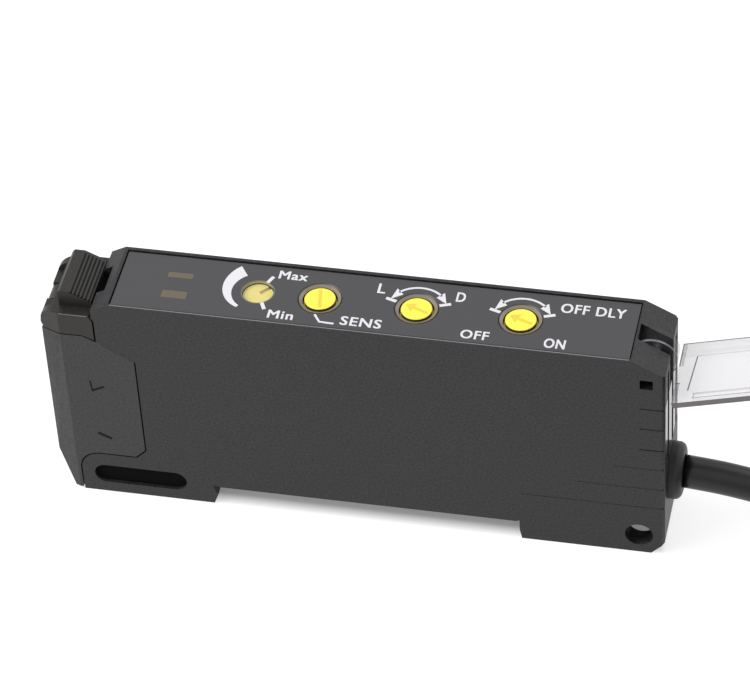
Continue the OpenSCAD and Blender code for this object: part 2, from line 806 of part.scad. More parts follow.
// Grommet in the rear wall, with a rounded collar outside
module cable_gland() {
    collar_r = gland_d / 2;
    round_r = gland_proud * 0.55;
    flange = 0.85;
    flange_low = -wall - 0.05;
    color([0.12, 0.12, 0.12]) translate([rear_reach, 0, cable_z]) rotate([0, 90, 0]) rotate_extrude()
        polygon(concat(
            [[cable_d / 2 + running_fit, flange_low - flange], [collar_r, flange_low - flange],
             [collar_r, flange_low], [gland_neck_r, flange_low], [gland_neck_r, fixed_fit],
             [collar_r, fixed_fit]],
            arc([collar_r - round_r, gland_proud - round_r], round_r, 0, 90, 8),
            [[cable_d / 2 + running_fit, gland_proud]]));
}

// Tube swept along a route: a ring of points at each place, square to the route
tube_sides = 8;
function step_at(p, i) = p[min(i + 1, len(p) - 1)] - p[max(i - 1, 0)];
function unit(v) = v / norm(v);
function ring(p, i, r) =
    let (t = unit(step_at(p, i)), u = unit(cross([0, 0, 1], t)), v = cross(t, u))
    [for (k = [0:tube_sides - 1])
        let (a = 360 * k / tube_sides) p[i] + r * (cos(a) * u + sin(a) * v)];
module tube(route, d) {
    n = len(route);
    points = [for (i = [0:n - 1]) each ring(route, i, d / 2)];
    sides = [for (i = [0:n - 2]) for (k = [0:tube_sides - 1])
        let (a = i * tube_sides + k, b = i * tube_sides + (k + 1) % tube_sides)
        [a, a + tube_sides, b + tube_sides, b]];
    start = [for (k = [0:tube_sides - 1]) k];
    end = [for (k = [tube_sides - 1:-1:0]) (n - 1) * tube_sides + k];
    polyhedron(points, concat(sides, [start, end]));
}

module cable() {
    color([0.13, 0.13, 0.13]) tube(cable_route, cable_d);
}
module cable_coil() {
    w = coil_wide * cable_d;
    h = coil_high * cable_d;
    c = cable_d / 4;
    color([0.13, 0.13, 0.13]) translate([coil_x, coil_y, coil_low]) rotate_extrude()
        translate([coil_d / 2 - w / 2, 0]) polygon([[c, 0], [w - c, 0], [w, c], [w, h - c],
            [w - c, h], [c, h], [0, h - c], [0, c]]);
}
// Strap round the coil's turns; the coil lies on its lower run
module cable_tie() {
    w = coil_wide * cable_d + 2 * tie_gap;
    h = coil_high * cable_d + 2 * tie_gap;
    color([0.1, 0.1, 0.1]) translate([coil_x, coil_y, surface_z]) rotate([0, 0, tie_turn]) difference() {
        block([coil_d / 2 - w / 2 - tie_t, -tie_w / 2, 0],
            [coil_d / 2 + w / 2 + tie_t, tie_w / 2, h + 2 * tie_t]);
        block([coil_d / 2 - w / 2, -tie_w, tie_t], [coil_d / 2 + w / 2, tie_w, tie_t + h]);
    }
}
module cable_tail() {
    color([0.13, 0.13, 0.13]) tube(tail_route, cable_d);
}

// Bare end: three leads that fan out of the sheath, each stripped at its tip
tail_end = tail_route[len(tail_route) - 1];
tail_way = unit(tail_end - tail_route[len(tail_route) - 2]);
module lead(side) {
    start = tail_end + [0, side * lead_d, 0] * 0.9;
    far = start + tail_way * lead_length + [0, side * 4, surface_z + lead_d / 2 - lay_z];
    tip = far + tail_way * lead_strip;
    tube([start, start + (far - start) * 0.5 + [0, side * 0.6, 0], far], lead_d);
    tube([far - tail_way * eps, tip], lead_d * 0.6);
}
module lead_brown() {
    color([0.35, 0.2, 0.12]) lead(-1);
}
module lead_blue() {
    color([0.1, 0.2, 0.55]) lead(1);
}
module lead_black() {
    color([0.08, 0.08, 0.08]) lead(0);
}

main_case();
side_cover();
top_panel();
front_block();
lock_lever();
lever_pin();
fibre_clamp();
emitter_led();
receiver_photodiode();
optics_board();
circuit_board();
controller_chip();
amplifier_chip();
output_transistor();
cable_header();
sensitivity_trimmer();
sensitivity_screw();
indicator_dial();
dial_window();
mode_switch();
mode_knob();
delay_switch();
delay_knob();
stability_led();
output_led();
stability_light_guide();
output_light_guide();
hinge_pin();
protective_cover();
cable_gland();
cable();
cable_coil();
cable_tie();
cable_tail();
lead_brown();
lead_blue();
lead_black();
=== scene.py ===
"""Looks of a slim rail-mounted fibre optic sensor amplifier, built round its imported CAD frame.

Lengths are in metres and angles in degrees, unless a line says otherwise.
"""

import logging
import math
from dataclasses import dataclass, field
from enum import Enum

import bpy
import numpy as np
from mathutils import Matrix, Vector


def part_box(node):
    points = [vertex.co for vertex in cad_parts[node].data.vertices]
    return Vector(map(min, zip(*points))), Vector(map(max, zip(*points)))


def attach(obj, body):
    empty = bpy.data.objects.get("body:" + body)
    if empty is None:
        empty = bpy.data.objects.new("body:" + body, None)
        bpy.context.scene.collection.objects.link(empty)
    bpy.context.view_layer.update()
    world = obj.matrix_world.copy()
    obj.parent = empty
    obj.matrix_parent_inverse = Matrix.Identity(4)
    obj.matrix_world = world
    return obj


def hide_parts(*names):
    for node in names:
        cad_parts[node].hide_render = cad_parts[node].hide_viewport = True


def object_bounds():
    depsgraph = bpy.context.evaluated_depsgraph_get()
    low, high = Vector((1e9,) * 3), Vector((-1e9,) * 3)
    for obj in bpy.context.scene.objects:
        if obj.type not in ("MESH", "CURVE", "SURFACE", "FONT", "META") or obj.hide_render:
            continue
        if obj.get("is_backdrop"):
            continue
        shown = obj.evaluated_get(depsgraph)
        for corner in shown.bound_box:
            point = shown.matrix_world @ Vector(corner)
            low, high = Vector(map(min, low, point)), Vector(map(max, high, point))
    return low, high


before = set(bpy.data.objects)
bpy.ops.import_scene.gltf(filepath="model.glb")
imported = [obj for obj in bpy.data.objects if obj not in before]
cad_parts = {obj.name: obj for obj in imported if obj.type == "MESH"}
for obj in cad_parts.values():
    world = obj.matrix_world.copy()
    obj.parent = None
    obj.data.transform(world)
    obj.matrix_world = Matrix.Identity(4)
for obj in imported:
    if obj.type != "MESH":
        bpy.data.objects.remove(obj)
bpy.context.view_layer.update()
case_low, case_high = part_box("main_case")

Material = bpy.types.Material
Tree = bpy.types.NodeTree
Node = bpy.types.Node
Socket = bpy.types.NodeSocket
Faces = list[list[int]]
Pair = tuple[float, float]
Triple = tuple[float, float, float]

MM = 0.001
LOG = logging.getLogger("amplifier")
# How far the floor is lifted to white in the open and, as a painted shadow, under the case, and the width of
# the change
FLOOR_LIFT = 0.76
FLOOR_DARK = 0.2
FLOOR_FADE = 1.8 * MM
# Where the cover's hinge arm goes over into its plate, and how much the arm hides
ARM_END = (34.4 * MM, 35.0 * MM)
ARM_ALPHA = 0.015
# Moulded grain: cells in a metre, finer octaves, strength of the bump, span of the noise, how far
# the tone of the coarsest grain strays, and that grain's height
GRAIN_SCALE = 3600
GRAIN_DETAIL = 2
GRAIN_STRENGTH = 0.6
GRAIN_SPAN = (0.3, 0.7)
GRAIN_TONE = 0.7
COARSE_GRAIN = 0.06 * MM
# Points round a turned ring, along the crescent, along other arcs and round an end of the slot
RING_STEPS = 64
CRESCENT_STEPS = 40
ARC_STEPS = 36
SLOT_STEPS = 17
# The corners of a four-sided face: which of its two ends and of its two sides each one takes
ALONG = np.array([0, 1, 1, 0])
ACROSS = np.array([0, 0, 1, 1])


class Surface(Enum):
    """How a finish is built."""

    MOULDED = "moulded"
    SMOOTH = "smooth"
    CLEAR = "clear"
    BACKDROP = "backdrop"


def add_node(tree: Tree, kind: str, inputs: dict[str | int, object], operation: str = "") -> Node:
    """Adds a shader node and fills its inputs.

    Args:
        tree: the nodes of a material or of the world.
        kind: the node's type without its prefix.
        inputs: a value, or a socket to link from, for each input.
        operation: what a math node works out.

    Returns:
        The new node.
    """
    made = tree.nodes.new("ShaderNode" + kind)
    if operation:
        made.operation = operation
    for key, given in inputs.items():
        if isinstance(given, Socket):
            tree.links.new(given, made.inputs[key])
        else:
            made.inputs[key].default_value = given
    return made


def place_along(tree: Tree, axis: str, system: str = "Object") -> Socket:
    """One coordinate of the shaded point.

    Args:
        tree: the nodes of a material or of the world.
        axis: X, Y or Z.
        system: the coordinates that it is taken from.

    Returns:
        The socket that gives it.
    """
    place = add_node(tree, "TexCoord", {})
    split = add_node(tree, "SeparateXYZ", {"Vector": place.outputs[system]})
    return split.outputs[axis]


@dataclass(frozen=True)
class Finish:
    """One procedural material.

    Args:
        name: the material's name.
        colour: linear base colour.
        roughness: how matt the surface is, 0 to 1.
        surface: the way the material is built.
        grain: height of the moulded grain.
        metallic: 1 for bare metal.
        specular: strength of the mirror reflection, 0.5 for common plastic.
        alpha: how much of what lies behind is hidden.
        nodes: the CAD nodes that wear it.
    """

    name: str
    colour: Triple
    roughness: float
    surface: Surface = Surface.SMOOTH
    grain: float = 0.0
    metallic: float = 0.0
    specular: float = 0.5
    alpha: float = 1.0
    nodes: tuple[str, ...] = ()

    def build(self) -> Material:
        """Makes the material.

        Returns:
            The new material.
        """
        made = bpy.data.materials.new(self.name)
        made.use_nodes = True
        shader = made.node_tree.nodes["Principled BSDF"]
        shader.inputs["Base Color"].default_value = (*self.colour, 1)
        shader.inputs["Roughness"].default_value = self.roughness
        shader.inputs["Metallic"].default_value = self.metallic
        shader.inputs["Specular IOR Level"].default_value = self.specular
        shader.inputs["Alpha"].default_value = self.alpha
        if self.surface is Surface.MOULDED:
            self._add_grain(made.node_tree, shader)
        elif self.surface is Surface.CLEAR:
            self._clear_arm(made.node_tree, shader)
        elif self.surface is Surface.BACKDROP:
            self._whiten(made.node_tree, shader)
        return made

    def _add_grain(self, tree: Tree, shader: Node) -> None:
        """Adds a fine moulded grain and a change of tone with it.

        Args:
            tree: the material's nodes.
            shader: the surface shader.
        """
        place = add_node(tree, "TexCoord", {})
        noise = add_node(tree, "TexNoise", {
            "Vector": place.outputs["Object"], "Scale": GRAIN_SCALE, "Detail": GRAIN_DETAIL,
        })
        height = noise.outputs["Fac"]
        bump = add_node(tree, "Bump", {
            "Height": height, "Distance": self.grain, "Strength": GRAIN_STRENGTH,
        })
        share = GRAIN_TONE * self.grain / COARSE_GRAIN
        spread = add_node(tree, "MapRange", {
            "Value": height, "From Min": GRAIN_SPAN[0], "From Max": GRAIN_SPAN[1],
            "To Min": 1 - share, "To Max": 1 + share,
        })
        tone = add_node(tree, "VectorMath", {0: self.colour, "Scale": spread.outputs["Result"]}, "SCALE")
        tree.links.new(bump.outputs["Normal"], shader.inputs["Normal"])
        tree.links.new(tone.outputs["Vector"], shader.inputs["Base Color"])

    def _clear_arm(self, tree: Tree, shader: Node) -> None:
        """Makes the hinge arm of the cover clearer than its plate.

        Args:
            tree: the material's nodes.
            shader: the surface shader.
        """
        rise = add_node(tree, "MapRange", {
            "Value": place_along(tree, "X"), "From Min": ARM_END[0], "From Max": ARM_END[1],
            "To Min": ARM_ALPHA, "To Max": self.alpha,
        })
        tree.links.new(rise.outputs["Result"], shader.inputs["Alpha"])

    def _whiten(self, tree: Tree, shader: Node) -> None:
        """Lifts the floor to white for the eye, for mirrors and for clear plastic alone.

        Args:
            tree: the material's nodes.
            shader: the surface shader.
        """
        path = add_node(tree, "LightPath", {})
        seen = path.outputs["Is Camera Ray"]
        for way in ("Is Glossy Ray", "Is Transmission Ray"):
            seen = add_node(tree, "Math", {0: seen, 1: path.outputs[way]}, "MAXIMUM").outputs[0]
        strength = add_node(tree, "Math", {0: self._under_case(tree), 1: seen}, "MULTIPLY")
        tree.links.new(strength.outputs[0], shader.inputs["Emission Strength"])
        shader.inputs["Emission Color"].default_value = (1, 1, 1, 1)

    def _under_case(self, tree: Tree) -> Socket:
        """The floor's lift, which fades out under the case as a painted shadow, where no light reaches.

        Args:
            tree: the floor's nodes.

        Returns:
            The socket that gives the lift.
        """
        faded = []
        for axis, half in (("X", case_high.x), ("Y", case_high.y)):
            away = add_node(tree, "Math", {0: place_along(tree, axis)}, "ABSOLUTE")
            fade = add_node(tree, "MapRange", {
                "Value": away.outputs[0], "From Min": half - FLOOR_FADE, "From Max": half,
            })
            faded.append(fade.outputs["Result"])
        outside = add_node(tree, "Math", {0: faded[0], 1: faded[1]}, "MAXIMUM")
        lift = add_node(tree, "MapRange", {
            "Value": outside.outputs[0], "To Min": FLOOR_DARK, "To Max": FLOOR_LIFT,
        })
        return lift.outputs["Result"]


FINISHES: tuple[Finish, ...] = (
    Finish("case_plastic", (0.0132, 0.0132, 0.0148), 0.45, Surface.MOULDED, COARSE_GRAIN, specular=0.41,
           nodes=("main_case", "side_cover")),
    Finish("block_plastic", (0.016, 0.016, 0.0168), 0.45, Surface.MOULDED, COARSE_GRAIN,
           nodes=("front_block",)),
    Finish("lever_plastic", (0.0148, 0.0131, 0.0118), 0.42, Surface.MOULDED, 0.02 * MM, specular=0.37,
           nodes=("lock_lever",)),
    Finish("panel_plastic", (0.0385, 0.0385, 0.0415), 0.38, nodes=("top_panel",)),
    Finish("panel_print", (0.56, 0.55, 0.58), 0.5),
    Finish("adjuster_yellow", (0.77, 0.645, 0.062), 0.4,
           nodes=("sensitivity_screw", "mode_knob", "delay_knob")),
    # Darker yellow: painted shade of the slot and arrow in the adjusters' faces.
    Finish("adjuster_slot_shade", (0.6, 0.48, 0.036), 0.4),
    Finish("dial_yellow", (0.66, 0.575, 0.16), 0.4, nodes=("indicator_dial",)),
    Finish("dial_rim", (0.1, 0.095, 0.075), 0.3),
    Finish("clear_plastic", (0.41, 0.395, 0.44), 0.06, Surface.CLEAR, alpha=0.26,
           nodes=("protective_cover",)),
    # Grey, dark and pale tones painted on the clear cover: shade and highlights of its edges and steps.
    Finish("cover_edge", (0.13, 0.113, 0.122), 0.35, alpha=0.95),
    Finish("cover_line", (0.05, 0.05, 0.055), 0.4, alpha=0.85),
    Finish("cover_frame", (0.3, 0.295, 0.31), 0.3, alpha=0.09),
    Finish("cover_band", (0.36, 0.36, 0.36), 0.3, alpha=0.4),
    # Light grey: painted highlight on the cover's hinge arm.
    Finish("arm_glint", (0.16, 0.16, 0.17), 0.2, alpha=0.75),
    Finish("window_plastic", (0.4, 0.38, 0.34), 0.15, alpha=0.08, nodes=("dial_window",)),
    # Pale tan and dark brown copies of the lips' amber plastic: painted light on the bevels, painted shade on
    # the walls and on the adjusters' sides.
    Finish("lip_edge", (0.16, 0.132, 0.092), 0.2),
    Finish("lip_wall", (0.06, 0.048, 0.032), 0.3),
    Finish("guide_plastic", (0.099, 0.079, 0.054), 0.25,
           nodes=("stability_light_guide", "output_light_guide")),
    # Near black for the sheet of painted shade inside the spring slot.
    Finish("deep_shade", (0.002, 0.002, 0.002), 0.9, specular=0.1),
    # Near black for painted shade: the grooves of the lever's grip and the shaded edges of the port marks.
    Finish("rib_shade", (0.004, 0.004, 0.004), 0.7, specular=0.2),
    # A lighter, glossier case tone: painted highlight on the rear face, with a real mirror reflection from
    # its low roughness.
    Finish("glossy_painted_sheen", (0.03, 0.03, 0.032), 0.16),
    # Light grey for the painted highlights along the panel's near rim and the lever's ledge.
    Finish("rim_glint", (0.16, 0.16, 0.17), 0.3),
    Finish("pin_steel", (0.6, 0.6, 0.62), 0.3, metallic=1.0, nodes=("lever_pin",)),
    Finish("hinge_pin_plastic", (0.03, 0.03, 0.033), 0.5, nodes=("hinge_pin",)),
    Finish("gland_rubber", (0.02, 0.02, 0.02), 0.5, specular=0.42, nodes=("cable_gland",)),
    Finish("cable_sheath", (0.004, 0.0043, 0.0043), 0.38, Surface.MOULDED, 0.012 * MM, specular=0.46),
    Finish("tie_nylon", (0.02, 0.02, 0.02), 0.4, nodes=("cable_tie",)),
    Finish("clamp_plastic", (0.6, 0.6, 0.56), 0.4, nodes=("fibre_clamp",)),
    Finish("emitter_resin", (0.6, 0.08, 0.05), 0.15, nodes=("emitter_led",)),
    Finish("receiver_resin", (0.05, 0.05, 0.08), 0.15, nodes=("receiver_photodiode",)),
    Finish("board_laminate", (0.02, 0.12, 0.05), 0.4, nodes=("optics_board", "circuit_board")),
    Finish("chip_resin", (0.012, 0.012, 0.012), 0.5,
           nodes=("controller_chip", "amplifier_chip", "output_transistor")),
    Finish("trimmer_plastic", (0.05, 0.1, 0.35), 0.4, nodes=("sensitivity_trimmer",)),
    Finish("switch_plastic", (0.02, 0.02, 0.022), 0.4, nodes=("mode_switch", "delay_switch")),
    Finish("header_plastic", (0.75, 0.75, 0.7), 0.4, nodes=("cable_header",)),
    Finish("lamp_green", (0.15, 0.6, 0.15), 0.2, nodes=("stability_led",)),
    Finish("lamp_orange", (0.8, 0.3, 0.05), 0.2, nodes=("output_led",)),
    Finish("lead_brown", (0.11, 0.035, 0.014), 0.4, nodes=("lead_brown",)),
    Finish("lead_blue", (0.02, 0.06, 0.3), 0.4, nodes=("lead_blue",)),
    Finish("lead_black", (0.015, 0.015, 0.015), 0.4, nodes=("lead_black",)),
    Finish("floor", (0.28, 0.28, 0.28), 0.9, Surface.BACKDROP),
)
MATERIALS: dict[str, Material] = {finish.name: finish.build() for finish in FINISHES}


def grid_faces(rows: int, cols: int, closed: bool = False, flip: bool = False) -> Faces:
    """Quads of a grid of points.

    Args:
        rows: points along the grid.
        cols: points across the grid.
        closed: True if the last column joins the first.
        flip: True to turn the faces over.

    Returns:
        Corner indices of each quad.
    """
    across = np.arange(cols if closed else cols - 1)
    start = np.arange(rows - 1)[:, None] * cols
    here = start + across
    beside = start + (across + 1) % cols
    quads = np.stack([here, beside, beside + cols, here + cols], axis=-1).reshape(-1, 4)
    return (quads[:, ::-1] if flip else quads).tolist()


def piece(
    name: str, points: np.ndarray, faces: Faces, finish: str, body: str = ""
) -> bpy.types.Object:
    """A mesh object at the origin.

    Args:
        name: the object's name.
        points: its corners.
        faces: corner indices of each face.
        finish: its material's name.
        body: the body that it rides on, none for the floor.

    Returns:
        The new object.
    """
    mesh = bpy.data.meshes.new(name)
    mesh.from_pydata(points.tolist(), [], faces)
    mesh.materials.append(MATERIALS[finish])
    made = bpy.data.objects.new(name, mesh)
    bpy.context.scene.collection.objects.link(made)
    if body:
        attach(made, body)
    return made


def smooth(share: np.ndarray) -> np.ndarray:
    """Eases a share from 0 to 1.

    Args:
        share: values, clipped to 0 and 1.

    Returns:
        The eased values.
    """
    t = np.clip(share, 0, 1)
    return t * t * (3 - 2 * t)


def turn_about(centre: np.ndarray, radius: float | np.ndarray, degrees: np.ndarray) -> np.ndarray:
    """Points on a circle.

    Args:
        centre: the circle's centre in its own plane.
        radius: its radius, one value or one for each angle.
        degrees: angles from the plane's first axis.

    Returns:
        Points in the same plane.
    """
    angle = np.radians(np.asarray(degrees, float))
    return centre + np.stack([radius * np.cos(angle), radius * np.sin(angle)], axis=-1)


def middle(node: str) -> np.ndarray:
    """Middle of a node in the plane of the panel.

    Args:
        node: a CAD node.

    Returns:
        X and Y.
    """
    low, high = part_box(node)
    return np.array([(low.x + high.x) / 2, (low.y + high.y) / 2])


def sheet(name: str, corners: tuple, finish: str, body: str = "case") -> None:
    """A piece of separate four-sided faces.

    Args:
        name: the piece's name.
        corners: X, Y and Z, each as one value, one for each face or four for each face.
        finish: its material's name.
        body: the body that it rides on.
    """
    points = np.stack(np.broadcast_arrays(*corners), axis=-1).reshape(-1, 3)
    faces = np.arange(len(points)).reshape(-1, 4).tolist()
    piece(name, points, faces, finish, body)


def turned(
    name: str, node: str, profile: list[Pair], finish: str, body: str, slot: str, flip: bool = False
) -> None:
    """A piece turned round the upright axis of a node.

    Args:
        name: the piece's name.
        node: a CAD node.
        profile: radius and height of each ring.
        finish: its material's name.
        body: the body that it rides on.
        slot: not used.
        flip: True to turn the faces inwards.
    """
    radius, height = np.array(profile).T[:, :, None]
    angle = np.linspace(0, 2 * np.pi, RING_STEPS, endpoint=False)
    x0, y0 = middle(node)
    level = np.broadcast_to(height, (len(profile), RING_STEPS))
    rings = np.stack([x0 + radius * np.cos(angle), y0 + radius * np.sin(angle), level], axis=-1)
    faces = grid_faces(len(profile), RING_STEPS, True, flip)
    piece(name, rings.reshape(-1, 3), faces, finish, body)


@dataclass
class CadLooks:
    """Gives each CAD node its finish and softens the moulded edges.

    Args:
        soft_edges: width of the rounded edge, and the moulded nodes that have it.
        join: points nearer than this are made one.
        sharp: an edge that turns by more than this is rounded.
    """

    soft_edges: tuple[tuple[float, tuple[str, ...]], ...] = (
        (0.14 * MM, ("main_case", "side_cover", "front_block")),
        (0.2 * MM, ("lock_lever",)),
        (0.1 * MM, ("sensitivity_screw", "mode_knob", "delay_knob")),
    )
    join: float = 0.001 * MM
    sharp: float = 38

    def dress(self) -> None:
        """Sets the materials and the edge modifiers."""
        for finish in FINISHES:
            for name in finish.nodes:
                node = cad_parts[name]
                node.data.materials.clear()
                node.data.materials.append(MATERIALS[finish.name])
        for width, names in self.soft_edges:
            for name in names:
                self._soften(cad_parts[name], width)

    def _soften(self, node: bpy.types.Object, width: float) -> None:
        """Rounds the sharp edges of one node.

        Args:
            node: the CAD node's object.
            width: how wide the rounding is.
        """
        weld = node.modifiers.new("join", "WELD")
        weld.merge_threshold = self.join
        bevel = node.modifiers.new("edge", "BEVEL")
        bevel.width = width
        bevel.segments = 2
        bevel.limit_method = "ANGLE"
        bevel.angle_limit = math.radians(self.sharp)
        bevel.use_clamp_overlap = True
        bevel.harden_normals = False


@dataclass
class PanelPrint:
    """White legends, ticks and arcs on the smoked panel.

    Args:
        lift: height of the print above the panel.
        stroke: width of the drawn lines.
        tick: width of the end ticks.
        weight: how much the letters are thickened across and along the panel.
        layer: rise of each copy that thickens a letter.
        spacing: of the letters, 1 for the font's own.
        legends: words, left and right end, baseline and cap height of each, in millimetres.
        leader: corners of the line from the screw to its legend, in millimetres.
        crescent: angles of the ends of the dial's crescent.
        crescent_inner: its inner radius.
        crescent_outer: its outer radius at each end.
        dial_ticks: angles of the dial's ticks.
        dial_reach: radii of the ends of the dial's ticks.
        choice_ticks: angles of a knob's ticks.
        choice_reach: radii of the ends of a knob's ticks.
        arrow: angles of the ends of a knob's arc.
        arrow_radius: the arc's radius.
        arrow_heads: angles of the root and the tip of each arrow head.
        arrow_half: half width of the arrow heads.
        points: corners drawn so far, with their rise above the print's level.
        faces: faces drawn so far.
        count: number of corners drawn so far.
    """

    lift: float = 0.012 * MM
    stroke: float = 0.28 * MM
    tick: float = 0.42 * MM
    weight: Pair = (0.042 * MM, 0.025 * MM)
    layer: float = 0.001 * MM
    spacing: float = 1.1
    legends: tuple[tuple[str, float, float, float, float], ...] = (
        ("Max", -10.33, -7.03, 2.5, 1.33),
        ("Min", -10.22, -7.32, -3.93, 1.3),
        ("SENS", -2.03, 2.59, -3.85, 1.42),
        ("L", 1.05, 1.95, 1.83, 1.57),
        ("D", 9.93, 10.96, 1.76, 1.53),
        ("OFF", 11.44, 14.6, -3.92, 1.38),
        ("OFF DLY", 21.64, 28.87, 1.76, 1.5),
        ("ON", 20.71, 23.07, -4.05, 1.5),
    )
    leader: tuple[Pair, ...] = ((-5.06, -2.62), (-4.31, -3.72), (-2.66, -3.8))
    crescent: Pair = (125, 236)
    crescent_inner: float = 2.98 * MM
    crescent_outer: Pair = (4.75 * MM, 3.35 * MM)
    dial_ticks: Pair = (66, -64)
    dial_reach: Pair = (1.8 * MM, 2.95 * MM)
    choice_ticks: Pair = (162, 19)
    choice_reach: Pair = (2.55 * MM, 3.85 * MM)
    arrow: Pair = (45, 136)
    arrow_radius: float = 3.35 * MM
    arrow_heads: tuple[Pair, ...] = ((48, 21), (133, 160))
    arrow_half: float = 0.6 * MM
    points: list[np.ndarray] = field(default_factory=list)
    faces: Faces = field(default_factory=list)
    count: int = 0

    def build(self) -> None:
        """Draws everything as one flat piece."""
        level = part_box("top_panel")[1].z + self.lift
        for words, *box in self.legends:
            self._letters(words, *np.array(box) * MM)
        self._dial_marks(middle("indicator_dial"))
        for knob in ("mode_knob", "delay_knob"):
            self._choice_marks(middle(knob))
        self._line(np.array(self.leader) * MM, self.stroke)
        solid = np.concatenate(self.points) + (0, 0, level)
        piece("panel_print", solid, self.faces, "panel_print", "case")

    def _add(self, points: np.ndarray, faces: Faces, rise: float = 0.0) -> None:
        """Adds flat faces.

        Args:
            points: corners, X and Y.
            faces: corner indices.
            rise: height above the other print.
        """
        self.points.append(np.column_stack([points, np.full(len(points), rise)]))
        self.faces += [[i + self.count for i in f] for f in faces]
        self.count += len(points)

    def _band(self, inner: np.ndarray, outer: np.ndarray) -> None:
        """Fills between two lines of points.

        Args:
            inner: points of one edge.
            outer: points of the other edge.
        """
        both = np.stack([inner, outer], axis=1).reshape(-1, 2)
        self._add(both, grid_faces(len(inner), 2))

    def _line(self, points: np.ndarray, width: float) -> None:
        """Draws a line of even width.

        Args:
            points: its corners.
            width: its width.
        """
        along = np.gradient(points, axis=0)
        along /= np.linalg.norm(along, axis=1)[:, None]
        side = np.stack([-along[:, 1], along[:, 0]], axis=1) * width / 2
        self._band(points - side, points + side)

    def _letters(self, words: str, left: float, right: float, base: float, cap: float) -> None:
        """Sets words into a given box.

        Args:
            words: the legend.
            left: left end.
            right: right end.
            base: baseline.
            cap: height of the capitals.
        """
        curve = bpy.data.curves.new("legend", "FONT")
        curve.body = words
        curve.space_character = self.spacing
        curve.resolution_u = 4
        holder = bpy.data.objects.new("legend", curve)
        mesh = bpy.data.meshes.new_from_object(holder)
        flat = np.zeros(len(mesh.vertices) * 3)
        mesh.vertices.foreach_get("co", flat)
        flat = flat.reshape(-1, 3)[:, :2]
        low, high = flat.min(0), flat.max(0)
        weight = np.array(self.weight)
        scale = (np.array([right - left, cap]) - 2 * weight) / (high - low)
        faces = [list(p.vertices) for p in mesh.polygons]
        for step, side in enumerate(((0, 0), (1, 1), (1, -1), (-1, 1), (-1, -1))):
            set_off = weight * (1 + np.array(side))
            self._add((flat - low) * scale + (left, base) + set_off, faces, self.layer * step)
        bpy.data.objects.remove(holder)
        bpy.data.meshes.remove(mesh)
        bpy.data.curves.remove(curve)

    def _ticks(self, centre: np.ndarray, angles: Pair, reach: Pair) -> None:
        """Two short lines that point to a middle.

        Args:
            centre: that middle.
            angles: of the two lines.
            reach: radii of their ends.
        """
        for degrees in angles:
            self._line(turn_about(centre, np.array(reach), np.full(2, degrees)), self.tick)

    def _dial_marks(self, centre: np.ndarray) -> None:
        """The crescent beside the dial and its two end ticks.

        Args:
            centre: the dial's middle.
        """
        sweep = np.linspace(*self.crescent, CRESCENT_STEPS)
        inner = turn_about(centre, self.crescent_inner, sweep)
        outer = turn_about(centre, np.linspace(*self.crescent_outer, CRESCENT_STEPS), sweep)
        self._band(inner, outer)
        self._ticks(centre, self.dial_ticks, self.dial_reach)

    def _choice_marks(self, centre: np.ndarray) -> None:
        """The two ticks and the double arrow over a two-way knob.

        Args:
            centre: the knob's middle.
        """
        self._ticks(centre, self.choice_ticks, self.choice_reach)
        sweep = np.linspace(*self.arrow, ARC_STEPS)
        self._line(turn_about(centre, self.arrow_radius, sweep), self.stroke)
        across = self.arrow_radius + np.array([-self.arrow_half, self.arrow_half])
        for degrees, tip in self.arrow_heads:
            root = turn_about(centre, across, np.full(2, degrees))
            point = turn_about(centre, self.arrow_radius, np.array([tip]))
            order = [[0, 2, 1]] if tip < degrees else [[0, 1, 2]]
            self._add(np.concatenate([root, point]), order)


@dataclass
class HoleLips:
    """The see-through lips of the three tool holes, pale on the bevel and dark brown on the wall as painted
    light and shade on one amber plastic, and the rim of the dial's window.

    Args:
        wall: inner radius of the lip.
        edge: outer radius of its pale ring of painted light.
        drop: depth of the ring's outer edge below the face.
        slope: fall of the ring to its inner edge.
        rest: height of the lip's foot above the panel's underside.
        rim: outer and inner radius of the window's rim.
        rim_lift: height of that rim above the panel.
        glow: radius of the yellow wall under the window, painted in the dial's colour over the wall's shade.
    """

    wall: float = 1.97 * MM
    edge: float = 2.36 * MM
    drop: float = 0.03 * MM
    slope: float = 0.16 * MM
    rest: float = 0.1 * MM
    rim: Pair = (1.93 * MM, 1.76 * MM)
    rim_lift: float = 0.008 * MM
    glow: float = 1.893 * MM

    def build(self) -> None:
        """Lines the bevel and the wall of each hole, and the hole of the dial."""
        low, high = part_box("top_panel")
        crest = high.z - self.drop
        foot = crest - self.slope
        bevel = [(self.edge, foot - self.drop), (self.edge, crest), (self.wall, foot)]
        wall = [(self.wall, foot), (self.wall, low.z + self.rest)]
        rim = [(radius, high.z + self.rim_lift) for radius in self.rim]
        glow = [(self.glow, high.z), (self.glow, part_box("indicator_dial")[1].z)]
        linings = []
        for node in ("sensitivity_screw", "mode_knob", "delay_knob"):
            linings.append((f"{node}_lip_edge", node, bevel, "lip_edge"))
            linings.append((f"{node}_lip_wall", node, wall, "lip_wall"))
        linings.append(("dial_rim", "indicator_dial", rim, "dial_rim"))
        # The hole's wall under the window is painted the dial's yellow, over its shade.
        linings.append(("dial_glow", "indicator_dial", glow, "dial_yellow"))
        for lining in linings:
            turned(*lining, "case", "guide_plastic", flip=True)


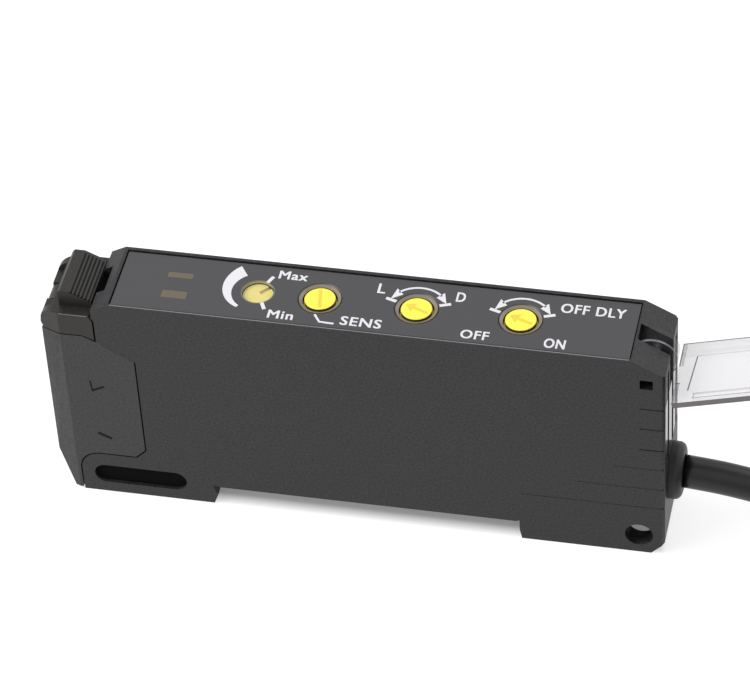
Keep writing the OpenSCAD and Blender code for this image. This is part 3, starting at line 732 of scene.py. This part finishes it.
@dataclass
class KnobCaps:
    """The raised faces of the three adjusters, with the painted shade of the slot or arrow that shows their
    setting.

    Args:
        settings: node, body, way of the mark, and True for an arrow, of each adjuster.
        sink: depth of the faces below the panel.
        overlap: how far the caps reach into the solids.
        radius: of the faces.
        chamfer: width of the edge.
        hub: radius of the point at the middle of a face.
        bar: half width of the slot.
        inset: from the end of the slot to the edge of the face.
        neck: from the middle to the root of the arrow's head.
        head: half width of the arrow's head.
        lift: height of the marks above the face.
    """

    settings: tuple[tuple[str, str, float, bool], ...] = (
        ("sensitivity_screw", "screw", 100, False),
        ("mode_knob", "mode", 158, True),
        ("delay_knob", "delay", 158, True),
    )
    sink: float = 0.02 * MM
    overlap: float = 0.02 * MM
    radius: float = 1.74 * MM
    chamfer: float = 0.06 * MM
    hub: float = 0.01 * MM
    bar: float = 0.2 * MM
    inset: float = 0.3 * MM
    neck: float = 0.35 * MM
    head: float = 0.75 * MM
    lift: float = 0.006 * MM

    def build(self) -> None:
        """Makes the three faces and their marks."""
        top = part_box("top_panel")[1].z - self.sink
        edge = (self.radius, top - self.chamfer)
        face = [edge, (self.radius - self.chamfer, top), (self.hub, top)]
        for node, body, degrees, arrow in self.settings:
            side = [(self.radius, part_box(node)[1].z - self.overlap), edge]
            # The side of each yellow face takes the dark brown of the lip walls: painted shade in the gap
            # round the face.
            turned(f"{node}_side", node, side, "lip_wall", body, "adjuster_yellow")
            turned(f"{node}_face", node, face, "adjuster_yellow", body, "adjuster_yellow")
            self._mark(node, body, top + self.lift, degrees, arrow)

    def _mark(self, node: str, body: str, level: float, degrees: float, arrow: bool) -> None:
        """A darker yellow flat mark for the slot of one face, with a pointed head on the two-way knobs:
        painted shade of the recess.

        Args:
            node: the adjuster's CAD node.
            body: the body that it turns with.
            level: height of the mark.
            degrees: the way that it points, from +X.
            arrow: True for a pointed head.
        """
        reach = self.radius - self.inset
        end = self.neck if arrow else reach
        flat = [(-reach, -self.bar), (end, -self.bar), (end, self.bar), (-reach, self.bar)]
        faces = [[0, 1, 2, 3]]
        if arrow:
            flat += [(self.neck, -self.head), (reach, 0), (self.neck, self.head)]
            faces.append([4, 5, 6])
        turn = math.radians(degrees)
        spin = np.array([(math.cos(turn), math.sin(turn)), (-math.sin(turn), math.cos(turn))])
        points = np.array(flat) @ spin + middle(node)
        solid = np.column_stack([points, np.full(len(points), level)])
        piece(f"{node}_mark", solid, faces, "adjuster_slot_shade", body)


@dataclass
class CoverEdges:
    """Painted shade and highlights along the edges and steps that show on the clear cover.

    Args:
        open_angle: turn of the cover from closed to its rest place.
        level: height of the plate above the hinge when closed.
        thick: of the plate.
        hinge_end: the plate's end at the hinge, from the hinge's middle.
        length: of the plate.
        half: half width of the plate.
        arm: half width of the hinge arm.
        arm_radius: outer radius of the hinge arm.
        arm_sweep: angles of the ends of the arm's bright line.
        arm_line: width of that line.
        foot: from the middle to the near side of the arm's foot.
        band: width of the pale bands at the hinge end.
        frame_end: width of the frame at the hinge end.
        frame_far: width of the frame along the far side.
        frame_near: width of the frame along the near side.
        frame_tip: width of the frame at the free end.
        frame_start: near end of the frame's line at the hinge end.
        frame_lean: how far that end is shifted to the hinge.
        line: width of a thin line.
        lift: how far the lines stand off the plate.
    """

    open_angle: float = 164.0
    level: float = 3.35 * MM
    thick: float = 0.75 * MM
    hinge_end: float = -1.65 * MM
    length: float = 58 * MM
    half: float = 4.8 * MM
    arm: float = 1.05 * MM
    arm_radius: float = 2.7 * MM
    arm_sweep: Pair = (-40, 132)
    arm_line: float = 0.3 * MM
    foot: float = 1.75 * MM
    band: float = 0.55 * MM
    frame_end: float = 1.9 * MM
    frame_far: float = 2.35 * MM
    frame_near: float = 0.6 * MM
    frame_tip: float = 3.0 * MM
    frame_start: float = -3.0 * MM
    frame_lean: float = 0.35 * MM
    line: float = 0.15 * MM
    lift: float = 0.01 * MM

    def build(self) -> None:
        """Lays every line on the cover's upper face, its near edge and its arm."""
        end, half, foot, line = self.hinge_end, self.half, self.foot, self.line
        tip = end - self.length
        inner_end = end - self.frame_end
        inner_tip = tip + self.frame_tip
        far, near = half - self.frame_far, self.frame_near - half
        turn = inner_end - self.band
        at_end = (end - self.band, end)
        at_frame = (inner_end - line, inner_end)
        frame_side = (self.frame_start, far)
        self._strip("cover_far_line", "cover_line", (tip, end), (half - line, half))
        self._strip("cover_end_line", "cover_line", (end - line, end), (self.arm, half))
        self._strip("cover_end_band", "cover_band", at_end, (self.arm, half))
        self._strip("cover_near_band", "cover_band", at_end, (-half, -foot))
        self._strip("cover_arm_foot", "cover_line", at_end, (-foot, -foot + line))
        self._strip("cover_frame_line", "cover_line", at_frame, frame_side, lean=self.frame_lean)
        self._strip("cover_far_frame", "cover_band", (inner_tip, inner_end), (far, far + line))
        self._strip("cover_near_frame", "cover_line", (inner_tip, turn), (near - line / 2, near))
        self._strip("cover_near_turn", "cover_line", (turn, turn + line / 2), (near - line, near + self.band))
        self._strip("cover_far_border", "cover_frame", (inner_tip, end), (far, half), layer=2)
        self._strip("cover_near_border", "cover_frame", (inner_tip, turn), (-half, near), layer=2)
        self._near_edge(tip)
        self._arm_line()

    def _hinge(self) -> np.ndarray:
        """The hinge's middle.

        Returns:
            X and Z.
        """
        low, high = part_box("hinge_pin")
        return np.array([(low.x + high.x) / 2, (low.z + high.z) / 2])

    def _strip(
        self, name: str, finish: str, along: Pair, across: Pair, layer: int = 1, lean: float = 0.0
    ) -> None:
        """A flat strip on the face that looks up while the cover is open.

        Args:
            name: the piece's name.
            finish: its material's name.
            along: its ends along the closed cover.
            across: its near and far side.
            layer: 1 for a strip next to the plate, 2 for one above it.
            lean: how far its near side is shifted to the hinge.
        """
        x = np.take(along, ALONG) + lean * (1 - ACROSS)
        self._lay(name, finish, x, np.take(across, ACROSS), self.level - layer * self.lift)

    def _arm_line(self) -> None:
        """A bright line along the near edge of the hooked hinge arm: painted highlight."""
        sweep = np.linspace(*self.arm_sweep, ARC_STEPS)
        arc = turn_about(self._hinge(), self.arm_radius + self.lift, sweep)
        edge = (-self.arm, -self.arm + self.arm_line)
        sides = [np.column_stack([arc[:, 0], np.full(len(arc), y), arc[:, 1]]) for y in edge]
        points = np.stack(sides, axis=1).reshape(-1, 3)
        faces = grid_faces(len(arc), 2)
        piece("cover_arm_line", points, faces, "arm_glint", "cover")

    def _near_edge(self, tip: float) -> None:
        """A grey strip on the thick near edge: painted shade, where it catches no light from behind.

        Args:
            tip: the plate's free end.
        """
        x = np.take((tip, self.hinge_end), ALONG)
        z = np.take((self.level, self.level + self.thick), ACROSS)
        self._lay("cover_near_edge", "cover_edge", x, -self.half - self.lift, z)

    def _lay(
        self, name: str, finish: str, x: np.ndarray, y: float | np.ndarray, z: float | np.ndarray
    ) -> None:
        """Turns the corners of a face to the open cover and makes the piece.

        Args:
            name: the piece's name.
            finish: its material's name.
            x: corners along the closed cover, from the hinge.
            y: corners across it.
            z: corners above the hinge.
        """
        turn = math.radians(self.open_angle)
        cos, sin = math.cos(turn), math.sin(turn)
        x0, z0 = self._hinge()
        opened = (x0 + x * cos + z * sin, y, z0 + z * cos - x * sin)
        sheet(name, opened, finish, "cover")


@dataclass
class CaseDetails:
    """Small places of the moulded case that decide how it reads: painted highlights, painted shade, and thin
    fills of its grooves and gaps.

    Args:
        slot_x: ends of the spring slot.
        slot_z: middle height of the spring slot.
        slot_radius: of its round ends.
        slot_depth: of the near-black sheet of painted shade inside it.
        grooves: length, height and depth of each side groove, in millimetres.
        groove_width: of the side grooves.
        groove_end: from their rear end to the rear face.
        ridges: sides of the lighter, glossier upright strips on the rear face, in millimetres.
        ridge_z: lower and upper end of those strips.
        rim_x: ends of the panel's near rim.
        rim_y: sides of the rim's painted highlight from the case's near side.
        ribs: number of grooves in the lever's grip.
        rib_half: half width of each.
        rib_margin: from their near and far end to the grip's sides.
        grip: where the grip's slope starts and ends.
        grip_half: half width of the grip.
        grip_fall: drop of the grip's slope.
        grip_height: of the grip above the ledge.
        ledge_x: ends of the ledge's straight near edge.
        ledge_y: sides of the ledge's painted highlight from the lever's near side.
        seam: ends of the closed upper seam on the near side.
        seam_width: height of the strip that closes it.
        gap: place of the case wall behind the lever and its lower and upper end.
        gap_slope: upper end of the lip where the wall leans over the lever.
        gap_lip: how far that wall's lip reaches to the lever.
        mark_x: where the dark strokes of the port marks start.
        strokes: height, start, end and width of each dark stroke of painted shade, in millimetres.
        lift: how far the lines and the rear strips stand off the solids.
        mark_lift: how far the dark strokes do.
        seam_lift: how far the strip over the seam does.
        lip_lift: how far the lip of the gap does.
    """

    slot_x: Pair = (-32.15 * MM, -21.2 * MM)
    slot_z: float = 0.17 * MM
    slot_radius: float = 1.35 * MM
    slot_depth: float = 0.45 * MM
    grooves: tuple[Triple, ...] = (
        (2.8, 19.8, 0.07), (2.8, 16.75, 0.07), (2.8, 13.55, 0.07),
        (5.8, 10.6, 0.03), (9.8, 7.5, 0.03), (16.3, 4.5, 0.03),
    )
    groove_width: float = 0.2 * MM
    groove_end: float = 0.32 * MM
    ridges: tuple[Pair, ...] = ((-4.6, -3.05), (-1.95, 0.05), (1.15, 2.75), (3.85, 4.6))
    ridge_z: Pair = (10.6 * MM, 20.0 * MM)
    rim_x: Pair = (-27.95 * MM, 30.3 * MM)
    rim_y: Pair = (0.16 * MM, 0.28 * MM)
    ribs: int = 6
    rib_half: float = 0.11 * MM
    rib_margin: Pair = (0.1 * MM, 0.4 * MM)
    grip: Pair = (-32.85 * MM, -30.45 * MM)
    grip_half: float = 3.5 * MM
    grip_fall: float = 1.15 * MM
    grip_height: float = 2.2 * MM
    ledge_x: Pair = (-34.0 * MM, -30.7 * MM)
    ledge_y: Pair = (0.02 * MM, 0.12 * MM)
    seam: tuple[Pair, Pair] = ((-29.5 * MM, 20.84 * MM), (-25.75 * MM, 18.67 * MM))
    seam_width: float = 0.44 * MM
    gap: Triple = (-29.8 * MM, 21.0 * MM, 24.27 * MM)
    gap_slope: tuple[Pair, Pair] = ((-30.2 * MM, 24.9 * MM), (-30.34 * MM, 24.86 * MM))
    gap_lip: float = 0.15 * MM
    mark_x: float = -31.2 * MM
    strokes: tuple[tuple[float, Pair, Pair, float], ...] = (
        (14.2, (-0.08, 0.8), (0.07, -0.78), 0.2),
        (14.2, (0.0, -0.78), (1.5, 0.04), 0.3),
        (6.7, (0.1, 0.05), (1.65, -0.69), 0.42),
    )
    lift: float = 0.012 * MM
    mark_lift: float = 0.008 * MM
    seam_lift: float = 0.006 * MM
    lip_lift: float = 0.004 * MM

    def build(self) -> None:
        """Adds every place to the case and the lever."""
        self._slot_shade()
        self._groove_floors()
        self._port_marks()
        self._seam_fill()
        self._gap_lip()
        self._ledge_line()
        self._rear_ridges()
        self._near_rim()
        self._grip_lines()

    def _slot_shade(self) -> None:
        """A near-black sheet inside the spring slot: painted shade."""
        front, rear = self.slot_x[0] + self.slot_radius, self.slot_x[1] - self.slot_radius
        sweep = np.linspace(90, 270, SLOT_STEPS)
        left = turn_about(np.array([front, self.slot_z]), self.slot_radius, sweep)
        right = turn_about(np.array([rear, self.slot_z]), self.slot_radius, sweep - 180)
        flat = np.concatenate([left, right])
        depth = np.full(len(flat), case_low.y + self.slot_depth)
        points = np.column_stack([flat[:, 0], depth, flat[:, 1]])
        faces = [list(range(len(points)))]
        piece("slot_shade", points, faces, "deep_shade", "case")

    def _groove_floors(self) -> None:
        """Shallow floors of the side grooves, deeper in the short ones."""
        reach, height, depth = np.array(self.grooves).T[:, :, None] * MM
        ends = np.hstack([reach, np.full_like(reach, self.groove_end)])
        x = case_high.x - ends[:, ALONG]
        z = height + self.groove_width * ACROSS
        sheet("groove_floors", (x, case_low.y + depth, z), "case_plastic")

    def _port_marks(self) -> None:
        """Dark strokes on the fibre block, at the height of each port: painted shade along the edges of its
        small marks.
        """
        outlines = []
        for height, start, end, width in self.strokes:
            run = np.subtract(end, start)
            along = run / np.hypot(*run)
            side = np.array([-along[1], along[0]]) * width / 2
            flat = np.array([start - side, end - side, end + side, start + side]) * MM
            outlines.append(flat + (self.mark_x, height * MM))
        x, z = np.moveaxis(np.array(outlines), -1, 0)
        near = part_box("front_block")[0].y - self.mark_lift
        sheet("port_mark_shade", (x, near, z), "rib_shade")

    def _seam_fill(self) -> None:
        """The upper run of the seam, where the block and the case meet without a gap."""
        x, z = np.transpose(self.seam)[:, ALONG]
        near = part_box("front_block")[0].y - self.seam_lift
        sheet("seam_fill", (x, near, z + self.seam_width * (ACROSS - 0.5)), "case_plastic")

    def _gap_lip(self) -> None:
        """The thin lip of the case wall behind the lever, clear of the lever's swing."""
        wall, low, high = self.gap
        lip = wall - self.gap_lip
        upright = [(lip, low), (wall, low), (wall, high), (lip, high)]
        leaning = [(lip, high), (wall, high), *self.gap_slope]
        x, z = np.moveaxis(np.array([upright, leaning]), -1, 0)
        sheet("gap_lip", (x, case_low.y - self.lip_lift, z), "case_plastic")

    def _ledge_line(self) -> None:
        """A thin bright line along the near edge of the lever's ledge: painted highlight."""
        low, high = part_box("lock_lever")
        y = low.y + np.take(self.ledge_y, ACROSS)
        level = high.z - self.grip_height + self.lift
        sheet("ledge_line", (np.take(self.ledge_x, ALONG), y, level), "rim_glint", "lever")

    def _rear_ridges(self) -> None:
        """Lighter, glossier upright strips on the rear face: painted highlights, which also mirror the bright
        room.
        """
        y = np.array(self.ridges)[:, ALONG] * MM
        z = np.take(self.ridge_z, ACROSS)
        sheet("rear_highlights", (case_high.x + self.lift, y, z), "glossy_painted_sheen")

    def _near_rim(self) -> None:
        """A thin bright line along the panel's near edge: painted highlight."""
        y = case_low.y + np.take(self.rim_y, ACROSS)
        sheet("rim_line", (np.take(self.rim_x, ALONG), y, case_high.z + self.lift), "rim_glint")

    def _grip_lines(self) -> None:
        """Dark strips laid in the grooves of the lever's grip: painted shade."""
        start, end = self.grip
        run = np.array([end - start, -self.grip_fall])
        length = np.hypot(*run)
        normal = np.array([self.grip_fall, end - start]) / length * self.lift
        half = run / length * self.rib_half
        shares = ((np.arange(self.ribs) + 0.5) / self.ribs)[:, None]
        middles = np.array([start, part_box("lock_lever")[1].z]) + run * shares + normal
        near, far = self.rib_margin[0] - self.grip_half, self.grip_half - self.rib_margin[1]
        ends = np.stack([middles - half, middles + half], axis=1)
        x, z = np.moveaxis(ends[:, ALONG], -1, 0)
        sheet("grip_lines", (x, np.take((near, far), ACROSS), z), "rib_shade", "lever")


@dataclass
class CableRun:
    """The attached cable at its real length: out of the gland, into a tied coil, then a bare end.

    Args:
        diameter: of the sheath.
        sides: points round the sheath.
        coil_diameter: at the middle of the coil's turns.
        wide: turns side by side.
        high: turns on each other.
        coil_x: the coil's middle along the case.
        coil_low: height of the middle of the coil's lowest turns.
        turn_steps: points in each turn.
        outer_step: from the last turn to the half turn outside it, in diameters.
        lay_z: height of the bare end's middle.
        way_out: given points from the gland to the coil, in millimetres.
        way_steps: points in each stretch of that way.
        way_end: X of the straight end behind the coil, in millimetres.
    """

    diameter: float = 3.8 * MM
    sides: int = 20
    coil_diameter: float = 38 * MM
    wide: int = 4
    high: int = 4
    coil_x: float = 76 * MM
    coil_low: float = 0.1 * MM
    turn_steps: int = 48
    outer_step: float = 1.02
    lay_z: float = -0.75 * MM
    way_out: tuple[Triple, ...] = (
        (35.8, 0, 6.0), (40, 0, 5.55), (44, 0, 4.8), (48, 0, 3.85), (52, 0, 2.75), (56, 0, 1.75),
        (60, 0, 0.95), (64, 0, 0.4), (68, 0, 0.15), (72, 0, 0.1),
    )
    way_steps: int = 4
    way_end: tuple[float, ...] = (74, 72, 69, 66)

    def build(self) -> None:
        path = self._path()
        made = self._tube(path)
        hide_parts("cable", "cable_coil", "cable_tail")

    def _tube(self, path: np.ndarray) -> bpy.types.Object:
        """A round tube with flat ends.

        Args:
            path: its middle line.

        Returns:
            The sheath.
        """
        along = np.gradient(path, axis=0)
        along /= np.linalg.norm(along, axis=1)[:, None]
        flat = np.cross((0.0, 0.0, 1.0), along)
        flat /= np.linalg.norm(flat, axis=1)[:, None]
        over = np.cross(along, flat)
        angle = np.linspace(0, 2 * np.pi, self.sides, endpoint=False)[:, None]
        ring = np.cos(angle) * flat[:, None] + np.sin(angle) * over[:, None]
        points = path[:, None] + ring * self.diameter / 2
        walls = grid_faces(len(path), self.sides, True)
        first = np.arange(self.sides)
        last = first + (len(path) - 1) * self.sides
        ends = [first[::-1].tolist(), last.tolist()]
        points = points.reshape(-1, 3)
        made = piece("cable_sheath", points, walls + ends, "cable_sheath", "case")
        made.data.polygons.foreach_set("use_smooth", [True] * len(walls) + [False] * len(ends))
        return made

    def _path(self) -> np.ndarray:
        """The cable's middle line.

        Returns:
            Its points.
        """
        start = self._curve(np.array(self.way_out) * MM)
        coil = self._coil()
        end_y = coil[-1, 1]
        end = np.array([(x * MM, end_y, self.lay_z) for x in self.way_end])
        return np.concatenate([start, coil, end])

    def _curve(self, corners: np.ndarray) -> np.ndarray:
        """A smooth line through given points.

        Args:
            corners: the points.

        Returns:
            Closer points on a smooth line through them.
        """
        before, after = 2 * corners[:1] - corners[1:2], 2 * corners[-1:] - corners[-2:-1]
        ends = np.concatenate([before, corners, after])
        t = np.linspace(0, 1, self.way_steps, endpoint=False)[:, None, None]
        a, b, c, d = ends[:-3], ends[1:-2], ends[2:-1], ends[3:]
        bend, twist = 2 * a - 5 * b + 4 * c - d, 3 * b - a - 3 * c + d
        line = 0.5 * (2 * b + (c - a) * t + bend * t**2 + twist * t**3)
        return np.concatenate([line.transpose(1, 0, 2).reshape(-1, 3), corners[-1:]])

    def _coil(self) -> np.ndarray:
        """The coil's turns, layer on layer, and the last half turn down its outside.

        Returns:
            Its points.
        """
        columns = (np.arange(self.wide)[::-1] - (self.wide - 1) / 2) * self.diameter
        slots = [
            (self.coil_diameter / 2 + r, self.coil_low + layer * self.diameter)
            for layer in range(self.high)
            for r in (columns if layer % 2 == 0 else columns[::-1])
        ]
        last = (slots[-1][0] + self.outer_step * self.diameter, slots[-1][1])
        chain = np.array(slots + [last])
        whole = len(slots) - 1
        turns = np.arange(int((whole + 0.5) * self.turn_steps) + 1) / self.turn_steps
        index = np.minimum(turns.astype(int), whole)
        part = turns - index
        # Later stretches of the winding shift first within a turn, so that no two turns meet
        groups = 2 * self.high - 1
        group = 2 * (index // self.wide) + (index % self.wide == self.wide - 1)
        group = np.minimum(group, groups - 1)
        moved = smooth(part * groups - (groups - 1 - group))[:, None]
        place = chain[index] + (chain[index + 1] - chain[index]) * moved
        fall = smooth((turns - whole - 1 / groups) / (0.5 - 1 / groups))
        radius = place[:, 0]
        level = place[:, 1] + (self.lay_z - chain[-1, 1]) * fall
        angle = np.pi / 2 - 2 * np.pi * turns
        middle_y = -chain[0, 0]
        return np.stack(
            [self.coil_x + radius * np.cos(angle), middle_y + radius * np.sin(angle), level], axis=1
        )


@dataclass
class Studio:
    """Pale floor and soft light.

    Args:
        floor_reach: from the middle of the floor to its edges.
        floor_gap: from the object's lowest point to the floor.
        horizon: strength of the room's light at eye level.
        zenith: strength of the room's light overhead.
        key: power of the key lamp, in watts.
        lamps: name, place, side and share of the key lamp's power of each lamp.
    """

    floor_reach: float = 3.0
    floor_gap: float = 0.02 * MM
    horizon: float = 0.55
    zenith: float = 1.1
    key: float = 3.4
    lamps: tuple[tuple[str, Triple, float, float], ...] = (
        ("key_lamp", (-0.5, -0.22, 0.55), 0.5, 1.0),
        ("rear_lamp", (0.35, 0.45, 0.5), 0.4, 0.2),
        ("left_lamp", (-0.65, -0.05, 0.36), 1.1, 1.2),
    )

    def build(self) -> None:
        """Makes the floor, the world and the lamps."""
        self._floor(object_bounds()[0].z - self.floor_gap)
        self._world()
        for name, place, size, share in self.lamps:
            self._lamp(name, Vector(place), size, self.key * share)

    def _floor(self, level: float) -> None:
        """A wide pale floor under the object.

        Args:
            level: height of the floor.
        """
        corners = np.array([(-1, -1), (1, -1), (1, 1), (-1, 1)]) * self.floor_reach
        points = np.column_stack([corners, np.full(4, level)])
        floor = piece("floor", points, [[0, 1, 2, 3]], "floor")
        floor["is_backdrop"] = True

    def _world(self) -> None:
        """Light from all round, brighter overhead than at eye level."""
        world = bpy.data.worlds.new("studio")
        bpy.context.scene.world = world
        world.use_nodes = True
        tree = world.node_tree
        ground = tree.nodes["Background"]
        ground.inputs["Color"].default_value = (1, 1, 1, 1)
        rise = add_node(tree, "MapRange", {
            "Value": place_along(tree, "Z", "Generated"), "To Min": self.horizon, "To Max": self.zenith,
        })
        tree.links.new(rise.outputs["Result"], ground.inputs["Strength"])

    def _lamp(self, name: str, place: Vector, size: float, power: float) -> None:
        """One soft lamp that faces the object.

        Args:
            name: the lamp's name.
            place: where it stands.
            size: its side.
            power: in watts.
        """
        light = bpy.data.lights.new(name, "AREA")
        light.size = size
        light.energy = power
        lamp = bpy.data.objects.new(name, light)
        lamp.location = place
        lamp.rotation_euler = (-place).to_track_quat("-Z", "Y").to_euler()
        bpy.context.scene.collection.objects.link(lamp)


@dataclass
class PhotoCamera:
    """The camera at the photograph's view.

    Args:
        azimuth: turn round the object.
        elevation: height of the view above the horizon.
        roll: tilt of the picture.
        place: the camera's place.
        focal: focal length in picture widths.
        sensor: width of the sensor, in millimetres.
        nearest: distance of the nearest point that is drawn.
    """

    azimuth: float = 14.207
    elevation: float = 43.128
    roll: float = -3.753
    place: Triple = (0.07895, -0.30807, 0.31898)
    focal: float = 5.21109
    sensor: float = 36
    nearest: float = 0.01

    def build(self) -> None:
        """Makes the scene's camera."""
        turn, rise, tilt = (math.radians(x) for x in (self.azimuth, self.elevation, self.roll))
        back = Vector((math.sin(turn) * math.cos(rise), -math.cos(turn) * math.cos(rise), math.sin(rise)))
        right = Vector((math.cos(turn), math.sin(turn), 0))
        up = back.cross(right)
        leaned = right * math.cos(tilt) + up * math.sin(tilt)
        data = bpy.data.cameras.new("photo_camera")
        data.sensor_width = self.sensor
        data.lens = self.focal * self.sensor
        data.clip_start = self.nearest
        camera = bpy.data.objects.new("photo_camera", data)
        axes = Matrix((leaned, back.cross(leaned), back)).transposed().to_4x4()
        camera.matrix_world = Matrix.Translation(self.place) @ axes
        bpy.context.scene.collection.objects.link(camera)
        bpy.context.scene.camera = camera


def main() -> None:
    """Builds the scene round the frame."""
    logging.basicConfig(level=logging.INFO)
    PhotoCamera().build()
    CableRun().build()
    CadLooks().dress()
    PanelPrint().build()
    HoleLips().build()
    KnobCaps().build()
    CoverEdges().build()
    CaseDetails().build()
    Studio().build()
    bpy.context.scene.view_settings.view_transform = "Standard"


if __name__ == "__main__":
    main()
